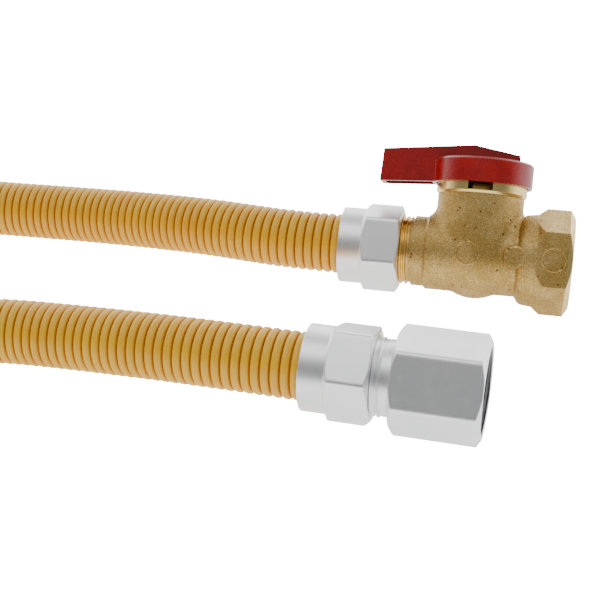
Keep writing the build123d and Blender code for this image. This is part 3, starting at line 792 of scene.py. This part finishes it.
def new_material(name, **constants):
    """A material with one Principled shader: its tree, shader and the place socket."""
    material = bpy.data.materials.new(name)
    material.use_nodes = True
    tree = material.node_tree
    shader = tree.nodes["Principled BSDF"]
    for key, value in constants.items():
        shader.inputs[key.replace("_", " ")].default_value = value
    place = tree.nodes.new("ShaderNodeTexCoord").outputs["Object"]
    return material, tree, shader, place


def bump(tree, shader, height, distance):
    """Raises the surface by a height, times a distance in metres."""
    node = add_node(tree, "ShaderNodeBump",
                    inputs={"Height": height, "Distance": distance, "Strength": 1.0})
    tree.links.new(node.outputs[0], shader.inputs["Normal"])


def along_axis(tree, place, foot, axis):
    """Distance of each point from a foot, along an axis."""
    moved = add_node(tree, "ShaderNodeVectorMath", operation="SUBTRACT",
                     inputs={0: place, 1: tuple(foot)})
    return add_node(tree, "ShaderNodeVectorMath", operation="DOT_PRODUCT",
                    inputs={0: moved.outputs[0], 1: tuple(axis)}).outputs["Value"]


# %% [markdown]
# Forged brass: the sand-blasted skin is dull gold, with a painted glint on the top of every
# grain and painted shade in its hollows and pits. The rim for the lever and the ring round
# the mouth are machined after blasting, so they are smooth and paler, and the skin darkens a
# little in patches.

# %% Brass
MOUTH_RING_X = (-0.0019, -0.0016)
RIM_HEIGHT = (0.0203, 0.0207)


def forged_brass():
    """Blasted skin, with machined bands by height up the stem and by place on the pipe."""
    material, tree, shader, place = new_material("forged_brass", Metallic=1.0)
    skin = use_group(tree, SLOW_DRIFT, Place=place, Patches_per_metre=110.0,
                     First=linear(182, 150, 82), Second=linear(204, 174, 108))
    grain = use_group(tree, BLASTED_GRAIN, Place=place, Grains_per_metre=2300.0)
    # Painted shade: the grain's hollows take a darker brass.
    shade = ease(tree, grain["Height"], 0.34, 0.56)
    grain_painted_shade_and_glint = blend_colour(tree, shade, linear(164, 132, 70), skin["Colour"])
    # Painted glint: the grain's tops turn near white, in place of their sparkle.
    painted_glint = ease(tree, grain["Height"], 0.6, 0.7, 0.0, 0.7)
    grain_painted_shade_and_glint = blend_colour(tree, painted_glint, grain_painted_shade_and_glint, linear(250, 232, 186))
    # Painted shade: the pits turn dark brown.
    with_painted_pit_shade = blend_colour(tree, grain["Pits"], grain_painted_shade_and_glint, linear(104, 76, 36))
    height = along_axis(tree, place, STEM_FOOT, STEM_DIR)
    mouth = ease(tree, along_axis(tree, place, np.zeros(3), PIPE_DIR), *MOUTH_RING_X)
    rim = ease(tree, height, *RIM_HEIGHT)
    machined = math_of(tree, "MAXIMUM", mouth, rim)
    lines = use_group(tree, TOOL_LINES, Place=place, Axis=tuple(PIPE_DIR))
    colour = blend_colour(tree, machined, with_painted_pit_shade, linear(236, 208, 136))
    tree.links.new(colour, shader.inputs["Base Color"])
    rough = ease(tree, grain["Height"], 0.3, 0.7, 0.52, 0.36)
    rough = add_node(tree, "ShaderNodeMix", inputs={0: machined, 2: rough, 3: 0.24}).outputs[0]
    tree.links.new(rough, shader.inputs["Roughness"])
    relief = add_node(tree, "ShaderNodeMix", inputs={
        0: machined, 2: grain["Height"],
        3: math_of(tree, "MULTIPLY", lines["Height"], 0.08),
    }).outputs[0]
    bump(tree, shader, relief, 0.00016)
    return material


def machined_brass():
    """Bare turned brass, with tool rings and light tarnish."""
    material, tree, shader, place = new_material("machined_brass", Metallic=1.0)
    skin = use_group(tree, SLOW_DRIFT, Place=place, Patches_per_metre=160.0,
                     First=linear(214, 172, 88), Second=linear(232, 198, 120))
    tree.links.new(skin["Colour"], shader.inputs["Base Color"])
    tree.links.new(ease(tree, skin["Patches"], 0, 1, 0.2, 0.3), shader.inputs["Roughness"])
    lines = use_group(tree, TOOL_LINES, Place=place, Axis=tuple(PIPE_DIR))
    bump(tree, shader, lines["Height"], 0.000012)
    return material


# %% [markdown]
# Plated steel, stainless tube and the chromed ball are one white metal with different
# greys and gloss, so one function makes them all. The adapter's inner thread takes the same
# metal in a dark grey, which is painted shade inside its bore.

# %% Plated steel, stainless tube and the chromed ball
def silver_metal(name, first, second, rough, axis, line_depth, lines_per_metre=2600.0):
    """White metal with tool rings, faint patches and fine scuffs in its gloss."""
    material, tree, shader, place = new_material(name, Metallic=1.0)
    skin = use_group(tree, SLOW_DRIFT, Place=place, Patches_per_metre=120.0,
                     First=first, Second=second)
    tree.links.new(skin["Colour"], shader.inputs["Base Color"])
    grain = use_group(tree, BLASTED_GRAIN, Place=place, Grains_per_metre=3200.0,
                      Pits_per_metre=90.0)
    tree.links.new(ease(tree, grain["Height"], 0.3, 0.75, rough + 0.04, rough - 0.03),
                   shader.inputs["Roughness"])
    lines = use_group(tree, TOOL_LINES, Place=place, Axis=tuple(axis),
                      Lines_per_metre=lines_per_metre)
    bump(tree, shader, lines["Height"], line_depth)
    return material


# %% [markdown]
# Red paint: thick gloss paint over a casting, with a faint orange peel. The hose's coating
# is sprayed on over its ribs. Its colour runs towards brown orange down in the grooves, and
# that is painted shade.

# %% Paint, coating, plastic and rubber
def red_paint():
    """Deep red gloss, slightly uneven, with orange peel a few millimetres across."""
    material, tree, shader, place = new_material(
        "red_paint", Coat_Roughness=0.08, Coat_Weight=0.12
    )
    skin = use_group(tree, SLOW_DRIFT, Place=place, Patches_per_metre=140.0,
                     First=linear(142, 4, 3), Second=linear(156, 7, 5))
    tree.links.new(skin["Colour"], shader.inputs["Base Color"])
    grain = use_group(tree, BLASTED_GRAIN, Place=place, Grains_per_metre=420.0,
                      Pits_per_metre=90.0)
    tree.links.new(ease(tree, grain["Height"], 0.3, 0.7, 0.32, 0.24),
                   shader.inputs["Roughness"])
    bump(tree, shader, grain["Height"], 0.00004)
    return material


def yellow_coating():
    """Epoxy yellow on the ribs, with painted shade of brown orange in the grooves, by the hose's
    own depth.
    """
    material, tree, shader, place = new_material("yellow_coating")
    depth = add_node(tree, "ShaderNodeAttribute", attribute_name="groove").outputs["Fac"]
    skin = use_group(tree, SLOW_DRIFT, Place=place, Patches_per_metre=60.0,
                     First=linear(236, 178, 0), Second=linear(240, 186, 0))
    # Painted shade: deep yellow on the rib flanks and brown orange at the groove bottoms.
    flank_painted_shade = blend_colour(tree, ease(tree, depth, 0.12, 0.6), skin["Colour"],
                         linear(204, 136, 0))
    colour = blend_colour(tree, ease(tree, depth, 0.5, 1.0), flank_painted_shade, linear(146, 76, 0))
    tree.links.new(colour, shader.inputs["Base Color"])
    grain = use_group(tree, BLASTED_GRAIN, Place=place, Grains_per_metre=700.0,
                      Pits_per_metre=60.0)
    tree.links.new(ease(tree, depth, 0.0, 1.0, 0.34, 0.6), shader.inputs["Roughness"])
    bump(tree, shader, grain["Height"], 0.00003)
    return material


def dull_material(name, first, second, rough, depth):
    """Plastic or rubber: two close colours in soft patches and a fine moulded grain."""
    material, tree, shader, place = new_material(name)
    skin = use_group(tree, SLOW_DRIFT, Place=place, Patches_per_metre=250.0,
                     First=first, Second=second)
    tree.links.new(skin["Colour"], shader.inputs["Base Color"])
    grain = use_group(tree, BLASTED_GRAIN, Place=place, Grains_per_metre=1500.0)
    tree.links.new(ease(tree, grain["Height"], 0.3, 0.7, rough + 0.05, rough - 0.05),
                   shader.inputs["Roughness"])
    bump(tree, shader, grain["Height"], depth)
    return material


# %% [markdown]
# Each finish is made once and shared, as one roll of stock or one tin of paint would be.

# %% Each piece gets its finish
FORGED = forged_brass()
MACHINED = machined_brass()
PLATED = silver_metal("plated_steel", linear(240, 241, 242), linear(246, 246, 247), 0.34,
                      PIPE_DIR, 0.000014)
STAINLESS = silver_metal("stainless_tube", linear(178, 180, 182), linear(200, 201, 202),
                         0.3, PIPE_DIR, 0.00001)
# Painted shade: the adapter's inner thread is its plated steel made dark grey, for the shade
# inside its bore.
INNER_THREAD_PAINTED_SHADE = silver_metal("inner_thread_painted_shade", linear(84, 84, 87), linear(104, 104, 107), 0.4,
                          PIPE_DIR, 0.00001)
CHROMED = silver_metal("chromed_ball", linear(214, 217, 222), linear(228, 230, 234), 0.1,
                       STEM_DIR, 0.000002)
RED = red_paint()
YELLOW = yellow_coating()
PLASTIC = dull_material("seat_plastic", linear(236, 234, 226), linear(224, 221, 210), 0.45,
                        0.00001)
RUBBER = dull_material("seal_rubber", linear(24, 24, 26), linear(34, 34, 36), 0.6, 0.00001)

finishes = {
    FORGED: [valve_forging, *marks],
    MACHINED: [inlet_thread, outlet_thread, gland_hexagon, nodes["stem"],
               nodes["seat_retainer"]],
    PLATED: [valve_nut, adapter_nut, female_adapter, adapter_outer_thread, screw_head,
             nodes["spring_washer"]],
    INNER_THREAD_PAINTED_SHADE: [adapter_inner_thread],
    STAINLESS: [nodes["tube_end_valve"], nodes["tube_end_adapter"]],
    CHROMED: [nodes["ball"]],
    RED: [red_lever],
    YELLOW: [corrugated_hose],
    PLASTIC: [nodes["seat_outlet"], nodes["seat_inlet"], nodes["thrust_washer"],
              nodes["gland_packing"]],
    RUBBER: [nodes["stem_o_rings"], nodes["retainer_o_ring"]],
}
for material, owners in finishes.items():
    for piece in owners:
        if not piece.material_slots:
            piece.data.materials.append(material)
        for material_slot in piece.material_slots:
            material_slot.material = material
print("finishes", len(finishes), "on", sum(map(len, finishes.values())), "pieces")

# %% [markdown]
# ## Floor, light and camera
# The assembly lies on a plain white floor under one broad soft light, with a paler sky
# behind it and a darker one in front, so that the plated faces which look at the camera
# turn grey while their tops stay white.

# %% Floor and light
FLOOR_Z = cad_low[2]
FLOOR_GLOW = 0.9
FLOOR_SEEN = 18.0
FLOOR_HALF = 4.0
KEY_PLACE = (-0.35, -0.25, 0.9)
KEY_TARGET = (-0.08, -0.03, 0)
KEY_SIZE = 0.6
KEY_POWER = 1.6
SKY_FRONT_TO_BACK = (-0.35, 0.5)
SKY_TO_ZENITH = (0.45, 0.95)


def white_floor():
    """A plain pale floor under the assembly, which isn't part of it."""
    corners = [(x * FLOOR_HALF, y * FLOOR_HALF, FLOOR_Z)
               for x, y in ((-1, -1), (1, -1), (1, 1), (-1, 1))]
    mesh = bpy.data.meshes.new("floor")
    mesh.from_pydata(corners, [], [(0, 1, 2, 3)])
    floor = bpy.data.objects.new("floor", mesh)
    bpy.context.scene.collection.objects.link(floor)
    material, tree, shader, place = new_material("white_floor", Roughness=0.9)
    skin = use_group(tree, SLOW_DRIFT, Place=place, Patches_per_metre=3.0,
                     First=(0.93, 0.93, 0.93, 1), Second=(0.95, 0.95, 0.95, 1))
    tree.links.new(skin["Colour"], shader.inputs["Base Color"])
    seen = tree.nodes.new("ShaderNodeLightPath").outputs["Is Camera Ray"]
    glow = add_node(tree, "ShaderNodeMix", inputs={0: seen, 2: FLOOR_GLOW, 3: FLOOR_SEEN})
    shader.inputs["Emission Color"].default_value = (1, 1, 1, 1)
    tree.links.new(glow.outputs[0], shader.inputs["Emission Strength"])
    mesh.materials.append(material)


def soft_box(name, place, target, size, power):
    """A square area light aimed at a target."""
    lamp = bpy.data.lights.new(name, "AREA")
    lamp.shape = "SQUARE"
    lamp.size = size
    lamp.energy = power
    light = bpy.data.objects.new(name, lamp)
    away = np.array(place) - np.array(target)
    away = away / np.linalg.norm(away)
    right = np.cross(PIPE_DIR if abs(away[2]) > 0.99 else UP, away)
    right = right / np.linalg.norm(right)
    turn = Matrix(np.stack([right, np.cross(away, right), away], axis=1).tolist())
    light.matrix_world = Matrix.Translation(place) @ turn.to_4x4()
    bpy.context.scene.collection.objects.link(light)


def studio_sky(front, back, zenith):
    """A sky whose brightness changes from front to back and up to the zenith."""
    world = bpy.data.worlds.new("studio_sky")
    world.use_nodes = True
    bpy.context.scene.world = world
    tree = world.node_tree
    direction = add_node(tree, "ShaderNodeSeparateXYZ", inputs={
        0: tree.nodes.new("ShaderNodeTexCoord").outputs["Generated"]})
    level = ease(tree, direction.outputs["Y"], *SKY_FRONT_TO_BACK, front, back)
    sky = add_node(tree, "ShaderNodeMix", inputs={
        0: ease(tree, direction.outputs["Z"], *SKY_TO_ZENITH), 2: level, 3: zenith})
    tree.links.new(sky.outputs[0], tree.nodes["Background"].inputs["Strength"])
    tree.nodes["Background"].inputs["Color"].default_value = (1, 1, 1, 1)


white_floor()
studio_sky(front=0.24, back=2.6, zenith=0.7)
soft_box("key_light", KEY_PLACE, KEY_TARGET, KEY_SIZE, KEY_POWER)
print("floor at", FLOOR_Z)

# %% [markdown]
# The camera is a real one's place, aim and lens. Azimuth turns it round the assembly,
# elevation lifts it, and roll tips the frame.

# %% Camera
CAMERA_PLACE = (-0.0145, -0.3789, 0.1928)
CAMERA_AZIMUTH = np.radians(11.93)
CAMERA_ELEVATION = np.radians(29.27)
CAMERA_ROLL = np.radians(-0.35)
CAMERA_LENS = 73.15
CAMERA_SENSOR = 36.0
CAMERA_NEAR = 0.01


def set_camera():
    """The scene's camera, turned from its azimuth, elevation and roll."""
    sin_a, cos_a = np.sin(CAMERA_AZIMUTH), np.cos(CAMERA_AZIMUTH)
    sin_e, cos_e = np.sin(CAMERA_ELEVATION), np.cos(CAMERA_ELEVATION)
    away = np.array([sin_a * cos_e, -cos_a * cos_e, sin_e])
    right = np.array([cos_a, sin_a, 0])
    upward = np.cross(away, right)
    cos_r, sin_r = np.cos(CAMERA_ROLL), np.sin(CAMERA_ROLL)
    axes = [right * cos_r + upward * sin_r, upward * cos_r - right * sin_r, away]
    camera_data = bpy.data.cameras.new("camera")
    camera_data.lens = CAMERA_LENS
    camera_data.sensor_width = CAMERA_SENSOR
    camera_data.clip_start = CAMERA_NEAR
    camera = bpy.data.objects.new("camera", camera_data)
    camera.matrix_world = (
        Matrix.Translation(CAMERA_PLACE) @ Matrix(np.stack(axes, axis=1).tolist()).to_4x4()
    )
    bpy.context.scene.collection.objects.link(camera)
    bpy.context.scene.camera = camera


set_camera()
print("camera lens", CAMERA_LENS, "mm")
